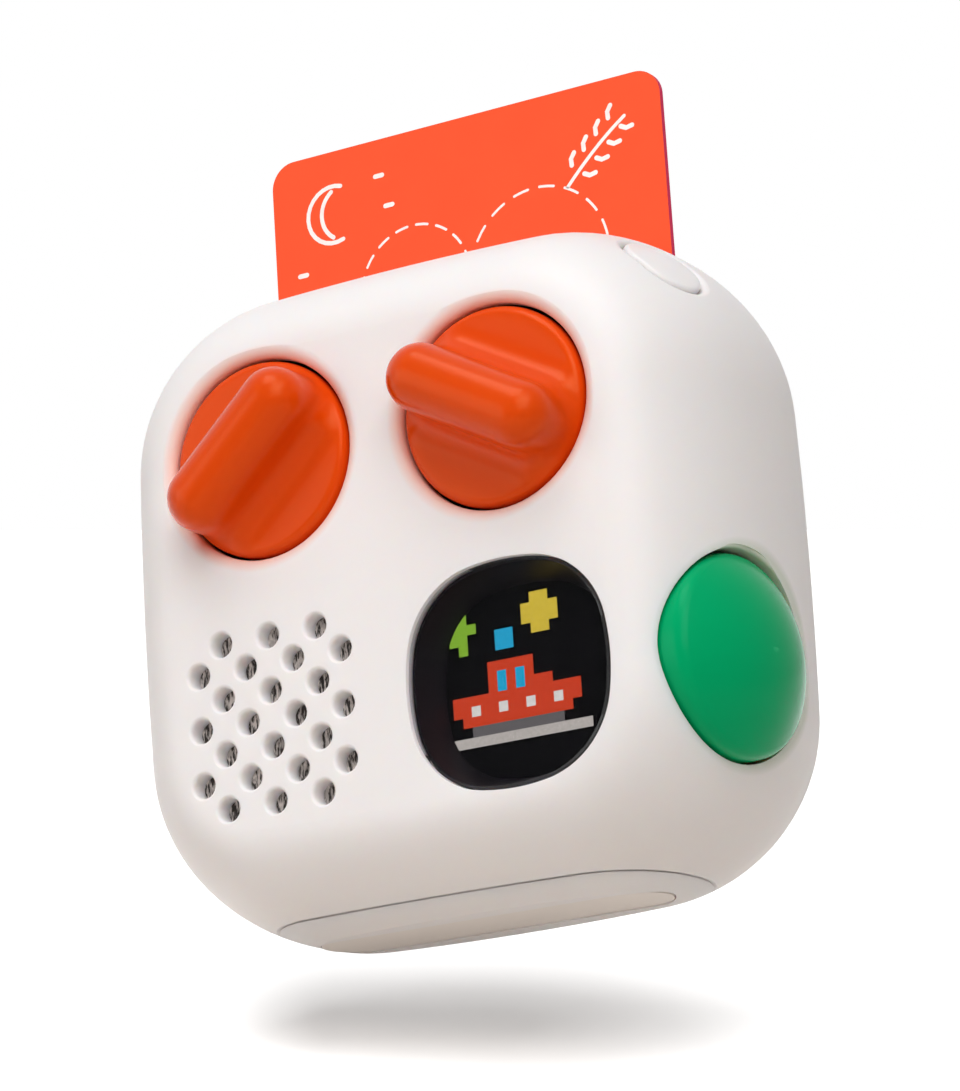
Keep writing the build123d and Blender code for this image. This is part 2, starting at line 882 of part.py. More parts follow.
cone_radius = speaker_radius - 2.4
with BuildPart() as speaker_frame:
    with BuildSketch(section_of(speaker_face)):
        with BuildLine():
            Polyline(
                (cone_radius, -basket_front),
                (speaker_radius, -basket_front),
                (speaker_radius, -basket_front - 1.2),
                (speaker_radius - 1.1, -basket_front - 1.2),
                (magnet_radius + 0.9, -basket_back),
                (0, -basket_back),
                (0, -basket_back + speaker_basket_wall),
                (magnet_radius + 0.2, -basket_back + speaker_basket_wall),
                (cone_radius, -basket_front - 0.8),
                close=True,
            )
        make_face()
    revolve(axis=axis_of(speaker_face))
speaker_frame.part.label = "speaker_frame"
export_step(speaker_frame.part, "parts/speaker_frame.step")

with BuildPart() as speaker_cone:
    low = -basket_front - cone_drop
    with BuildSketch(section_of(speaker_face)):
        with BuildLine():
            cap = ThreePointArc(
                (0, low + 1.2), (dust_cap_radius * 0.6, low + 0.85), (dust_cap_radius, low)
            )
            Polyline(
                cap @ 1,
                (cone_radius, -basket_front),
                (cone_radius, -basket_front - cone_thickness),
                (dust_cap_radius, low - cone_thickness),
                (0, low - cone_thickness),
                cap @ 0,
            )
        make_face()
    revolve(axis=axis_of(speaker_face))
speaker_cone.part.label = "speaker_cone"
export_step(speaker_cone.part, "parts/speaker_cone.step")

with BuildPart() as speaker_magnet:
    add(drum(speaker_face, magnet_radius, -basket_back - magnet_depth, -basket_back))
    chamfer(speaker_magnet.faces().sort_by(Axis.Y)[-1].edges(), 0.4)
speaker_magnet.part.label = "speaker_magnet"
export_step(speaker_magnet.part, "parts/speaker_magnet.step")


# ---------------------------------------------------------------- knobs
# Each knob is a round flange with a grip bar across it. The bar has a round top
# and hollow flanks that run out into the flange; a hub at the back takes the shaft.
def bar_section():
    """Half of the bar's cross-section, from its middle out to the flange."""
    half, flat = bar_width / 2, -knob_recess
    under = flat - 0.5
    crown = EllipticalCenterArc(
        (0, bar_height - bar_top_round), half, bar_top_round, 0, arc_size=90
    )
    side = Line(crown @ 0, (half, flat + bar_foot_round))
    foot = RadiusArc(side @ 1, (half + bar_foot_round, flat), bar_foot_round)
    Polyline(foot @ 1, (half + bar_foot_round, under), (0, under), crown @ 1)


def grip_bar(face):
    reach = knob_radius - bar_end_margin - bar_width / 2 - 0.45
    ends = (-reach, reach)
    with BuildPart() as bar:
        with BuildSketch(Plane(origin=face.origin, x_dir=face.y_dir, z_dir=face.x_dir)) as cut:
            with BuildLine():
                bar_section()
            make_face()
            mirror(about=Plane.YZ)
        extrude(amount=reach, both=True)
        for end in ends:
            middle = face.origin + face.x_dir * end
            end_face = Plane(origin=middle, x_dir=face.x_dir, z_dir=face.z_dir)
            with BuildSketch(section_of(end_face)):
                with BuildLine():
                    bar_section()
                make_face()
            revolve(axis=axis_of(end_face))
    return bar.part


def knob_envelope(face):
    """What the knob turns inside: a drum whose side leans in above the flange."""
    low, top = -knob_recess - knob_rim_round, bar_height + 1
    with BuildPart() as form:
        with BuildSketch(section_of(face)):
            with BuildLine():
                Polyline((0, top), (0, low - 1), (knob_radius, low - 1), (knob_radius, low))
                lean_in = ThreePointArc(
                    (knob_radius, low),
                    (knob_radius - 0.3, low + 1.0),
                    (knob_radius - 0.5, low + 2.0),
                )
                Polyline(lean_in @ 1, (knob_radius - 0.5, top), (0, top))
            make_face()
        revolve(axis=axis_of(face))
    return form.part


def d_prism(face, radius, start, end):
    """A shaft with a flat filed on it."""
    with BuildPart() as prism:
        with BuildSketch(face.offset(start)):
            Circle(radius)
            with Locations((0, radius * 0.65 + radius)):
                Rectangle(2 * radius, 2 * radius, mode=Mode.SUBTRACT)
        extrude(amount=end - start)
    return prism.part


def knob_solid(face):
    flange_back = -knob_recess - knob_flange
    bar = grip_bar(face) & knob_envelope(face)
    bore = d_prism(face, shaft_radius, -hub_end, -shaft_start)
    with BuildPart() as knob:
        add(drum(face, knob_radius, flange_back, -knob_recess))
        rims = knob.faces().sort_by(axis_of(face))[-1].edges()
        fillet(rims, knob_rim_round)
        add(bar)
        add(drum(face, hub_radius, -hub_end, flange_back))
        add(bore, mode=Mode.SUBTRACT)
    return knob.part


def shaft_solid(face):
    """The encoder's shaft, with a flange that holds it in its chamber."""
    collar = -encoder_front - encoder_front_wall - collar_gap
    with BuildPart() as shaft:
        add(d_prism(face, shaft_radius, -hub_end, -shaft_start))
        add(drum(face, shaft_radius, collar, -hub_end))
        add(drum(face, shaft_flange_radius, collar - shaft_flange_thickness, collar))
    return shaft.part


def plunger_solid(face):
    """The pin between the shaft and the press switch inside the encoder."""
    start = encoder_front + encoder_front_wall + collar_gap + shaft_flange_thickness
    start += plunger_gap
    return drum(face, plunger_radius, -start - plunger_length, -start)


def encoder_solid(face, place):
    """The encoder's can and bush, with the chamber that its shaft works in."""
    back = encoder_front + encoder_height
    with BuildPart() as encoder:
        with BuildSketch(upright(front_y + back, place, knob_row)):
            RectangleRounded(encoder_size, encoder_size, 0.8)
        extrude(amount=encoder_height)
        add(drum(face, bush_radius, -encoder_front, bush_length - encoder_front))
        add(
            drum(face, shaft_radius + bore_play, -encoder_front - 2, 0),
            mode=Mode.SUBTRACT,
        )
        add(
            drum(face, encoder_chamber_radius, 1.2 - back, -encoder_front - encoder_front_wall),
            mode=Mode.SUBTRACT,
        )
    return encoder.part


with BuildPart() as knob_left:
    add(knob_solid(knob_faces["left"]))
knob_left.part.label = "knob_left"
export_step(knob_left.part, "parts/knob_left.step")

with BuildPart() as knob_right:
    add(knob_solid(knob_faces["right"]))
knob_right.part.label = "knob_right"
export_step(knob_right.part, "parts/knob_right.step")

with BuildPart() as encoder_left:
    add(encoder_solid(knob_faces["left"], -column))
encoder_left.part.label = "encoder_left"
export_step(encoder_left.part, "parts/encoder_left.step")

with BuildPart() as encoder_right:
    add(encoder_solid(knob_faces["right"], column))
encoder_right.part.label = "encoder_right"
export_step(encoder_right.part, "parts/encoder_right.step")

with BuildPart() as encoder_shaft_left:
    add(shaft_solid(knob_faces["left"]))
encoder_shaft_left.part.label = "encoder_shaft_left"
export_step(encoder_shaft_left.part, "parts/encoder_shaft_left.step")

with BuildPart() as encoder_shaft_right:
    add(shaft_solid(knob_faces["right"]))
encoder_shaft_right.part.label = "encoder_shaft_right"
export_step(encoder_shaft_right.part, "parts/encoder_shaft_right.step")

with BuildPart() as encoder_plunger_left:
    add(plunger_solid(knob_faces["left"]))
encoder_plunger_left.part.label = "encoder_plunger_left"
export_step(encoder_plunger_left.part, "parts/encoder_plunger_left.step")

with BuildPart() as encoder_plunger_right:
    add(plunger_solid(knob_faces["right"]))
encoder_plunger_right.part.label = "encoder_plunger_right"
export_step(encoder_plunger_right.part, "parts/encoder_plunger_right.step")

# ---------------------------------------------------------------- side button
# A big dome on the right, guided by the shell's sleeve and kept in by a hook;
# a spring pushes it out and its post presses a switch.
dome_reach = button_hole_radius - running_gap
dome_bulge = dome_rise + dome_base
dome_sphere = (dome_reach**2 + dome_bulge**2) / (2 * dome_bulge)
dome_middle = dome_rise - dome_sphere
cap_inside = dome_reach - button_wall
sphere_inside = dome_sphere - button_wall
hook_top = sleeve_depth + hook_gap
hook_end = hook_top + hook_thickness

with BuildPart() as side_button:
    with BuildSketch(section_of(button_face)):
        with BuildLine():
            outer_arc = RadiusArc((0, dome_rise), (dome_reach, -dome_base), dome_sphere)
            inner_start = dome_middle + sqrt(sphere_inside**2 - cap_inside**2)
            Polyline(
                outer_arc @ 1,
                (dome_reach, -skirt_depth),
                (cap_inside, -skirt_depth),
                (cap_inside, inner_start),
            )
            inner_arc = RadiusArc(
                (0, dome_rise - button_wall), (cap_inside, inner_start), sphere_inside
            )
            Line(inner_arc @ 0, outer_arc @ 0)
        make_face()
    revolve(axis=axis_of(button_face))
    rim = button_face.origin - button_face.z_dir * dome_base + button_face.y_dir * dome_reach
    fillet(side_button.edges().sort_by_distance(rim)[0], dome_edge_round)
    add(drum(button_face, button_post_radius, -post_end, dome_rise - 1.2))
    add(drum(button_face, button_seat_radius, -button_seat_depth, 0.8))
    add(button_sector(cap_inside + 0.15, dome_reach, -hook_end, -skirt_depth))
    add(button_sector(dome_reach - 0.2, dome_reach + hook_reach, -hook_end, -hook_top))
side_button.part.label = "side_button"
export_step(side_button.part, "parts/side_button.step")

with BuildPart() as side_switch_board:
    with BuildSketch(button_face.offset(-side_board_depth - side_board_thickness)):
        RectangleRounded(side_board_width, side_board_height, 0.8)
    extrude(amount=side_board_thickness)
side_switch_board.part.label = "side_switch_board"
export_step(side_switch_board.part, "parts/side_switch_board.step")

with BuildPart() as side_switch:
    with BuildSketch(button_face.offset(-side_board_depth)):
        RectangleRounded(side_switch_size, side_switch_size, 0.4)
    extrude(amount=side_switch_height)
    with BuildSketch(button_face.offset(side_switch_height - side_board_depth)):
        Circle(side_switch_tip_radius)
    extrude(amount=side_switch_tip)
side_switch.part.label = "side_switch"
export_step(side_switch.part, "parts/side_switch.step")

spring_low = -side_board_depth + spring_wire
spring_high = -button_seat_depth - button_travel - seat_clear - spring_wire
spring_height = spring_high - spring_low
spring_base = button_face.offset(spring_low)
with BuildPart() as side_button_spring:
    with BuildLine() as coil:
        Helix(
            spring_height / spring_turns,
            spring_height,
            spring_radius,
            center=spring_base.origin,
            direction=spring_base.z_dir,
        )
    turns = coil.wires()[0]
    with BuildSketch(Plane(origin=turns @ 0, z_dir=turns % 0)):
        Circle(spring_wire)
    sweep(path=turns)
side_button_spring.part.label = "side_button_spring"
export_step(side_button_spring.part, "parts/side_button_spring.step")

# ---------------------------------------------------------------- power button
# A pill let into the shoulder, held in by a lip, pressing a switch on the board.
flange_skin = wall + running_gap - 0.05
pill = power_prism(0, -wall - 4, 3) & pillow(power_recess)
lip = power_prism(power_flange, -wall - 4, 3) & pillow(flange_skin)
behind = pillow(flange_skin + power_flange_thickness)

with BuildPart() as power_button:
    add(pill)
    fillet(power_button.faces().sort_by(axis_of(power_face))[-1].edges(), power_edge_round)
    add(lip)
    add(behind, mode=Mode.SUBTRACT)
    add(drum(power_face, power_stem_radius, -power_stem_end, -wall - 0.8))
power_button.part.label = "power_button"
export_step(power_button.part, "parts/power_button.step")

with BuildPart() as power_switch:
    tip_top = power_stem_end + power_travel + switch_clearance
    body_top = tip_top + power_switch_tip
    with BuildSketch(power_face.offset(-body_top - power_switch_height)):
        Rectangle(power_switch_size, 2 * (power_before - board_front_before))
    extrude(amount=power_switch_height)
    with BuildSketch(power_face.offset(-body_top)):
        Circle(power_switch_tip_radius)
    extrude(amount=power_switch_tip)
power_switch.part.label = "power_switch"
export_step(power_switch.part, "parts/power_switch.step")

# ---------------------------------------------------------------- story card
# A plain card with round corners, standing upright in the guide.
with BuildPart() as story_card:
    card_back = upright(card_behind + card_thickness / 2, 0, card_top_z - card_length / 2 - mid_z)
    with BuildSketch(card_back):
        RectangleRounded(card_width, card_length, card_corner)
    extrude(amount=card_thickness)
story_card.part.label = "story_card"
export_step(story_card.part, "parts/story_card.step")

# ---------------------------------------------------------------- card guide
# A flat pocket behind the slot. Its ears are clamped between the shell's bosses
# and the cover's tubes, and a rib on its front carries the side switch board.
def guide_ears():
    ears = []
    for x, z in stack_places:
        place = upright(guide_ear_back_y, x, z)
        ears.append(drum(place, screw_boss_radius, 0, ear_thickness))
        low, high = sorted((x, x * 0.85))
        if z > 0:
            lows = (low, guide_front_y, mid_z + z - screw_boss_radius)
            highs = (high, guide_ear_back_y, mid_z + z + screw_boss_radius)
        else:
            lower, upper = sorted((mid_z + z, guide_bottom_z + 1))
            lows = (x - screw_boss_radius, guide_front_y, lower)
            highs = (x + screw_boss_radius, guide_ear_back_y, upper)
        ears.append(slab(lows, highs))
    return ears


def switch_rib():
    """The rib behind the side switch board, back to the guide's front wall."""
    back = -side_board_depth - side_board_thickness
    with BuildPart() as rib:
        with BuildSketch(button_face.offset(back - 1.5)):
            with Locations((side_board_width / 4 - 0.5, 0)):
                Rectangle(side_board_width * 1.5 - 4, side_board_height - 4)
        extrude(amount=1.5)
    return rib.part & slab((-far, -far, 0), (far, guide_front_y + 0.6, far))


guide_half = card_width / 2 + guide_side_gap + guide_side
guide_body = slab(
    (-guide_half, guide_front_y, guide_bottom_z), (guide_half, guide_back_y, 2 * far)
) & pillow(wall + guide_top_margin)
cavity_half = card_width / 2 + guide_side_gap
guide_cavity = slab(
    (-cavity_half, guide_front_y + guide_wall, card_bottom_z - 0.3),
    (cavity_half, guide_back_y - guide_wall, 2 * far),
)
guide_adds = guide_ears() + [switch_rib()]

with BuildPart() as card_guide:
    add(guide_body)
    add(guide_adds)
    add(guide_cavity, mode=Mode.SUBTRACT)
    for x, z in stack_places:
        with BuildSketch(upright(guide_back_y, x, z)):
            Circle(screw_radius + 0.2)
        extrude(amount=2 * guide_back_y, mode=Mode.SUBTRACT)
    for z in (-lug_row, lug_row):
        with BuildSketch(upright(guide_back_y, 0, z)):
            Circle(small_screw_radius + thread_play)
        extrude(amount=guide_wall - 0.2, mode=Mode.SUBTRACT)
card_guide.part.label = "card_guide"
export_step(card_guide.part, "parts/card_guide.step")

# ---------------------------------------------------------------- card antenna
with BuildPart() as card_antenna:
    with BuildSketch(upright(guide_back_y + antenna_thickness)):
        RectangleRounded(antenna_width, antenna_height, 2)
    extrude(amount=antenna_thickness)
card_antenna.part.label = "card_antenna"
export_step(card_antenna.part, "parts/card_antenna.step")

# ---------------------------------------------------------------- battery, cradle and pad
cradle_front_y = guide_back_y + antenna_thickness
battery_back_y = cradle_back_y + battery_thickness
cradle_width = battery_width + 2 * (seat_gap + cradle_wall)
cradle_height = battery_height + 2 * (seat_gap + cradle_wall)

with BuildPart() as battery_cradle:
    with BuildSketch(upright(cradle_back_y + cradle_rim)):
        RectangleRounded(cradle_width, cradle_height, 2)
    extrude(amount=cradle_rim + cradle_floor)
    with BuildSketch(upright(cradle_back_y + cradle_rim)):
        Rectangle(battery_width + 2 * seat_gap, battery_height + 2 * seat_gap)
    extrude(amount=cradle_rim, mode=Mode.SUBTRACT)
    with BuildSketch(upright(cradle_back_y)):
        SlotCenterToCenter(2 * lug_row, 2 * lug_radius, rotation=90)
    extrude(amount=cradle_floor)
    with BuildSketch(upright(cradle_back_y)):
        with Locations((0, -lug_row), (0, lug_row)):
            Circle(lug_radius)
    extrude(amount=cradle_back_y - guide_back_y)
    with BuildSketch(upright(cradle_back_y)):
        with Locations((0, -lug_row), (0, lug_row)):
            Circle(small_screw_radius + 0.15)
    extrude(amount=cradle_back_y - guide_back_y, mode=Mode.SUBTRACT)
battery_cradle.part.label = "battery_cradle"
export_step(battery_cradle.part, "parts/battery_cradle.step")

with BuildPart() as battery:
    with BuildSketch(upright(battery_back_y)):
        Rectangle(battery_width, battery_height)
    extrude(amount=battery_thickness)
    fillet(battery.edges().filter_by(Axis.Z), battery_thickness * 0.35)
battery.part.label = "battery"
export_step(battery.part, "parts/battery.step")

with BuildPart() as battery_pad:
    with BuildSketch(upright(inner_back_y)):
        RectangleRounded(battery_width * 0.7, battery_height * 0.6, 2)
    extrude(amount=inner_back_y - battery_back_y)
battery_pad.part.label = "battery_pad"
export_step(battery_pad.part, "parts/battery_pad.step")


# ---------------------------------------------------------------- main board and its parts
board_form = slab(
    (-far, board_front_y, mid_z + board_bottom), (far, board_back_y, 2 * far)
) & pillow(wall + board_edge_gap)
board_notch = power_prism(power_flange + 0.5, -wall - 2.9, 3)

with BuildPart() as main_board:
    add(board_form)
    add(board_notch, mode=Mode.SUBTRACT)
    for x, z in post_places:
        with BuildSketch(upright(board_back_y, x, z)):
            Circle(small_screw_radius + 0.15)
        extrude(amount=board_thickness, mode=Mode.SUBTRACT)
main_board.part.label = "main_board"
export_step(main_board.part, "parts/main_board.step")

with BuildPart() as board_parts:
    # ribbon, speaker and battery connectors on the front
    with BuildSketch(upright(board_front_y, column, ribbon_high_row)):
        Rectangle(ribbon_width + 2, 3)
    extrude(amount=connector_height)
    with BuildSketch(upright(board_front_y, -column, ribbon_high_row)):
        Rectangle(6, 4)
    extrude(amount=3)
    # processor, memory, radio and their small parts on the back
    for x, z, width, height, thick in back_parts:
        with BuildSketch(upright(board_back_y + thick, x, z)):
            Rectangle(width, height)
        extrude(amount=thick)
board_parts.part.label = "board_parts"
export_step(board_parts.part, "parts/board_parts.step")

# ---------------------------------------------------------------- ports
with BuildPart() as usb_port:
    add(usb_prism(usb_width / 2, usb_height / 2, -usb_length, 0))
    add(
        usb_prism(usb_width / 2 - usb_shell, usb_height / 2 - usb_shell, 1 - usb_length, 0),
        mode=Mode.SUBTRACT,
    )
    with BuildSketch(usb_face.offset(-usb_length)):
        Rectangle(usb_width - 2.4, usb_tongue)
    extrude(amount=usb_length - 1)
usb_port.part.label = "usb_port"
export_step(usb_port.part, "parts/usb_port.step")

with BuildPart() as audio_jack:
    with BuildSketch(jack_face.offset(-jack_nose - jack_length)):
        Rectangle(jack_width, 2 * (jack_before - board_front_before))
    extrude(amount=jack_length)
    with BuildSketch(jack_face.offset(-jack_nose)):
        Circle(jack_nose_radius)
    extrude(amount=jack_nose)
    with BuildSketch(jack_face):
        Circle(jack_bore_radius)
    extrude(amount=1 - jack_nose - jack_length, mode=Mode.SUBTRACT)
audio_jack.part.label = "audio_jack"
export_step(audio_jack.part, "parts/audio_jack.step")
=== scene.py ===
from math import acos, cos, pi, radians, sin, sqrt

import bpy
from mathutils import Matrix, Vector


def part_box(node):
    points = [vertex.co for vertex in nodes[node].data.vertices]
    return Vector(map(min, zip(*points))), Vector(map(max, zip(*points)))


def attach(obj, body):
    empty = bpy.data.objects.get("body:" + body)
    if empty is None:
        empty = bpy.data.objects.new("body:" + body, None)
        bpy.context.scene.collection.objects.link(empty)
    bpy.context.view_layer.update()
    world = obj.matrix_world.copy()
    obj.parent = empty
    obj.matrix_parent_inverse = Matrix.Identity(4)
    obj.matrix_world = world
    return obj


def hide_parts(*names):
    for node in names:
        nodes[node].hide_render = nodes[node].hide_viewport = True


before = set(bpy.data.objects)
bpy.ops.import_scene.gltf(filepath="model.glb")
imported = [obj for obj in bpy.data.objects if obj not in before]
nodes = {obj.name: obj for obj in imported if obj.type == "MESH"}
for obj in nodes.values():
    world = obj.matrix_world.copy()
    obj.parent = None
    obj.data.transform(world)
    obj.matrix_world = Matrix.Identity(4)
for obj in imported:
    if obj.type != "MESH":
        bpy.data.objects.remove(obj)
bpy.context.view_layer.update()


# ------------------------------------------------------------------ front shell
# The deep front half of the case, one injection moulding in warm white ABS. Its skin is
# lightly spark-eroded, so it looks matt and a little silky, and light sinks into it.
def colour(code):
    """An sRGB hex code as the linear colour a shader takes."""
    parts = [int(code[i : i + 2], 16) / 255 for i in (1, 3, 5)]
    linear = [c / 12.92 if c <= 0.04045 else ((c + 0.055) / 1.055) ** 2.4 for c in parts]
    return linear + [1]


def node(tree, kind, inputs=None, output=0, **settings):
    """Adds a shader node with its settings, values and links, and gives one output."""
    made = tree.nodes.new("ShaderNode" + kind)
    for field, value in settings.items():
        setattr(made, field, value)
    for socket, value in (inputs or {}).items():
        if isinstance(value, bpy.types.NodeSocket):
            tree.links.new(value, made.inputs[socket])
        else:
            made.inputs[socket].default_value = value
    return made.outputs[output] if made.outputs else None


def blank_material(name):
    """A material without nodes, and its tree to fill."""
    made = bpy.data.materials.new(name)
    made.use_nodes = True
    made.node_tree.nodes.clear()
    return made, made.node_tree


def rubbed_edges(tree, radius_mm):
    """White on edges that hands and shelves rub, black on flat faces."""
    flat_cosine, edge_cosine = 0.995, 0.86
    rounded = node(tree, "Bevel", {"Radius": radius_mm / 1000}, samples=4)
    plain = node(tree, "NewGeometry", output="Normal")
    same = node(
        tree, "VectorMath", {0: rounded, 1: plain}, output="Value", operation="DOT_PRODUCT"
    )
    edges = {"Value": same, "From Min": flat_cosine, "From Max": edge_cosine}
    return node(tree, "MapRange", edges)


def painted_bounce(tree, tone, piece, weights, reach_mm, code, share):
    """Painted bounce light: the colour that a bright piece would throw on the plastic round
    it, painted into the plastic's own colour. weights halves the axis that runs through the
    case, and reach_mm holds where the painted colour is full and gone."""
    corner, far_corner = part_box(piece)
    heart = [(a + b) / 2 * keep for a, b, keep in zip(corner, far_corner, weights)]
    place = node(tree, "TexCoord", output="Object")
    weighed = node(tree, "VectorMath", {0: place, 1: weights}, operation="MULTIPLY")
    far = node(
        tree, "VectorMath", {0: weighed, 1: heart}, output="Value", operation="DISTANCE"
    )
    full, gone = (reach / 1000 for reach in reach_mm)
    amount = node(
        tree,
        "MapRange",
        {"Value": far, "From Min": full, "From Max": gone, "To Min": share, "To Max": 0.0},
    )
    # inputs 6 and 7 of a colour mix are its two colours, and output 2 is the mixed one
    return node(
        tree, "Mix", {0: amount, 6: tone, 7: colour(code)}, output=2, data_type="RGBA"
    )


def moulded(name, code, rough, tint, wear=0.0, grain_mm=0.35, bump_mm=0.006, gloss=0.5,
            glint="#FFFFFF", soft=0.0, soft_mm=1.2, painted_bounces=()):
    """Moulded plastic: a faint cloudiness, a fine eroded skin and paler rubbed edges.
    soft is how much light sinks in, soft_mm how far, and the last argument lists the
    painted bounce light that bright pieces nearby throw on it.
    The pits of a spark-eroded mould are 0.03 mm wide. grain_mm draws them coarser, as
    finer ones don't show. cloud_mm is the width of the flow marks."""
    made, tree = blank_material(name)
    cloud_mm, worn_mm, worn_paler, rough_spread = 24.0, 0.35, 0.35, 0.03
    place = node(tree, "TexCoord", output="Object")
    cloud = node(
        tree, "TexNoise", {"Vector": place, "Scale": 1000 / cloud_mm, "Detail": 3.0}
    )
    clouded = node(tree, "MapRange", {"Value": cloud, "From Min": 0.3, "From Max": 0.7})
    base = colour(code)
    deep = [c * (1 - tint) for c in base[:3]] + [1]
    pale = [c + (1 - c) * worn_paler for c in base[:3]] + [1]
    tone = node(tree, "Mix", {0: clouded, 6: deep, 7: base}, output=2, data_type="RGBA")
    rubbed = rubbed_edges(tree, worn_mm)
    share = node(tree, "Math", {0: rubbed, 1: wear}, operation="MULTIPLY")
    tone = node(tree, "Mix", {0: share, 6: tone, 7: pale}, output=2, data_type="RGBA")
    # painted bounce light from bright pieces nearby, mixed into the colour
    for piece, weights, reach_mm, bounce_code, amount in painted_bounces:
        tone = painted_bounce(tree, tone, piece, weights, reach_mm, bounce_code, amount)
    skin = node(
        tree, "TexNoise", {"Vector": place, "Scale": 1000 / grain_mm, "Detail": 2.0}
    )
    bump = node(
        tree, "Bump", {"Strength": 0.35, "Distance": bump_mm / 1000, "Height": skin}
    )
    uneven = {"Value": skin, "From Min": 0.3, "From Max": 0.7}
    uneven.update({"To Min": rough - rough_spread, "To Max": rough + rough_spread})
    # light sinks farthest into plastic in red, and least in blue
    red, green, blue = (part * soft_mm / 1000 for part in (1, 0.6, 0.4))
    shader = node(
        tree,
        "BsdfPrincipled",
        {
            "Base Color": tone,
            "Roughness": node(tree, "MapRange", uneven),
            "Normal": bump,
            "Specular IOR Level": gloss,
            "Specular Tint": colour(glint),
            "Subsurface Weight": soft,
            "Subsurface Radius": (red, green, blue),
            "Subsurface Scale": 1.0,
        },
    )
    node(tree, "OutputMaterial", {"Surface": shader})
    return made


def finish_nodes(material, *names):
    """Gives CAD pieces the material they are made of."""
    for name in names:
        piece = nodes[name]
        piece.data.materials.clear()
        piece.data.materials.append(material)


# ABS, pigmented white: matt, with painted orange bounce light round the knobs and painted
# green bounce light by the button
near_front, near_side = (1, 0.5, 1), (0.5, 1, 1)
knob_bounce_reach, button_bounce_reach = (11.9, 13.4), (12.0, 13.2)
abs_white = moulded(
    "ABS, warm white", "#F1EDED", rough=0.46, tint=0.012, grain_mm=0.22, bump_mm=0.004,
    gloss=0.3, soft=0.35, soft_mm=3.0,
    painted_bounces=(
        ("knob_left", near_front, knob_bounce_reach, "#FF9A62", 0.45),
        ("knob_right", near_front, knob_bounce_reach, "#FF9A62", 0.45),
        ("side_button", near_side, button_bounce_reach, "#8FA878", 0.35),
    ),
)
finish_nodes(abs_white, "front_shell")


# ------------------------------------------------------------------ encoders
# Two switches that turn and press, in folded steel cans soldered to the main board. In
# each a moulded white POM plunger carries the shaft that comes out through the shell.
def rolled_metal(name, code, rough=0.32):
    """Turned or rolled metal: fine scratches one way and a little cloudiness. Mill
    scratches are 0.02 mm wide, and they are drawn coarser so that they show."""
    made, tree = blank_material(name)
    scratch_mm, scratch_deep_mm, scratch_ratio, dulled = 0.714, 0.01, 14, 0.82
    place = node(tree, "TexCoord", output="Object")
    drawn = node(tree, "Mapping", {"Vector": place, "Scale": (1, 1, scratch_ratio)})
    scratch = node(
        tree, "TexNoise", {"Vector": drawn, "Scale": 1000 / scratch_mm, "Detail": 2.0}
    )
    base = colour(code)
    dull = [c * dulled for c in base[:3]] + [1]
    tone = node(tree, "Mix", {0: scratch, 6: dull, 7: base}, output=2, data_type="RGBA")
    bump = node(
        tree,
        "Bump",
        {"Strength": 0.2, "Distance": scratch_deep_mm / 1000, "Height": scratch},
    )
    uneven = {"Value": scratch, "From Min": 0.2, "From Max": 0.8}
    uneven.update({"To Min": rough - 0.06, "To Max": rough + 0.08})
    shader = node(
        tree,
        "BsdfPrincipled",
        {
            "Base Color": tone,
            "Metallic": 1.0,
            "Roughness": node(tree, "MapRange", uneven),
            "Normal": bump,
        },
    )
    node(tree, "OutputMaterial", {"Surface": shader})
    return made


# zinc-plated sheet steel: grey, satin, finely scratched
steel = rolled_metal("Steel, zinc plated", "#B9BBBE")
finish_nodes(steel, "encoder_left", "encoder_right")
# POM: milky white and slightly waxy
pom_white = moulded("POM, white", "#E6E4E0", rough=0.4, tint=0.03)
finish_nodes(pom_white, "encoder_plunger_left", "encoder_plunger_right",
             "encoder_shaft_left", "encoder_shaft_right")


# ------------------------------------------------------------------ knobs
# A knob pushed on each shaft, moulded in orange ABS from a polished tool: a round flange
# with a grip bar that swells out of it. Its smooth skin takes the plain solid's place.
def new_piece(name, verts, faces, material, smooth=True):
    """A mesh of its own, in metres in the case's frame."""
    mesh = bpy.data.meshes.new(name)
    mesh.from_pydata([tuple(v) for v in verts], [], faces)
    mesh.materials.append(material)
    for face in mesh.polygons:
        face.use_smooth = smooth
    made = bpy.data.objects.new(name, mesh)
    bpy.context.scene.collection.objects.link(made)
    return made


# ABS, pigmented orange and polished: soft warm glints on the bar's ridge
abs_orange = moulded(
    "ABS, orange", "#E04806", rough=0.22, tint=0.03, wear=0.02, grain_mm=0.3,
    bump_mm=0.004, gloss=0.22, glint="#FFC890", soft=0.3, soft_mm=1.8,
)


def knob_profile(reach, steps=7):
    """Distance and height (mm) down one line of the knob, from its bar's ridge to its
    back. reach is the distance from the ridge to the flange's rim along that line."""
    bar_half, crown, bar_top, flange_top = 3.95, 3.7, 8.0, -0.25
    hollow, rim, back, back_round, straight_steps = 3.4, 1.2, -2.35, 0.2, 3
    line = []
    for i in range(steps + 1):
        t = pi / 2 * i / steps
        line.append((bar_half * sin(t), bar_top - crown + crown * cos(t)))
    free = reach - bar_half
    turned = pi / 2
    if free < hollow + rim:
        turned = acos(1 - free / (hollow + rim))
    foot = flange_top - rim + (hollow + rim) * sin(turned)
    flat_end = max(free - hollow - rim, 0)
    for i in range(1, straight_steps + 1):
        drop = (foot - bar_top + crown) * i / straight_steps
        line.append((bar_half, bar_top - crown + drop))
    for i in range(1, steps + 1):
        t = turned * i / steps
        line.append((bar_half + hollow * (1 - cos(t)), foot - hollow * sin(t)))
    for i in range(1, straight_steps + 1):
        out = bar_half + hollow * (1 - cos(turned)) + flat_end * i / straight_steps
        line.append((out, line[-1][1]))
    for i in range(1, steps + 1):
        t = turned * (1 - i / steps)
        line.append((reach - rim * (1 - cos(t)), flange_top - rim + rim * sin(t)))
    line += [(reach, back + back_round), (reach - back_round, back), (reach * 0.6, back)]
    return line


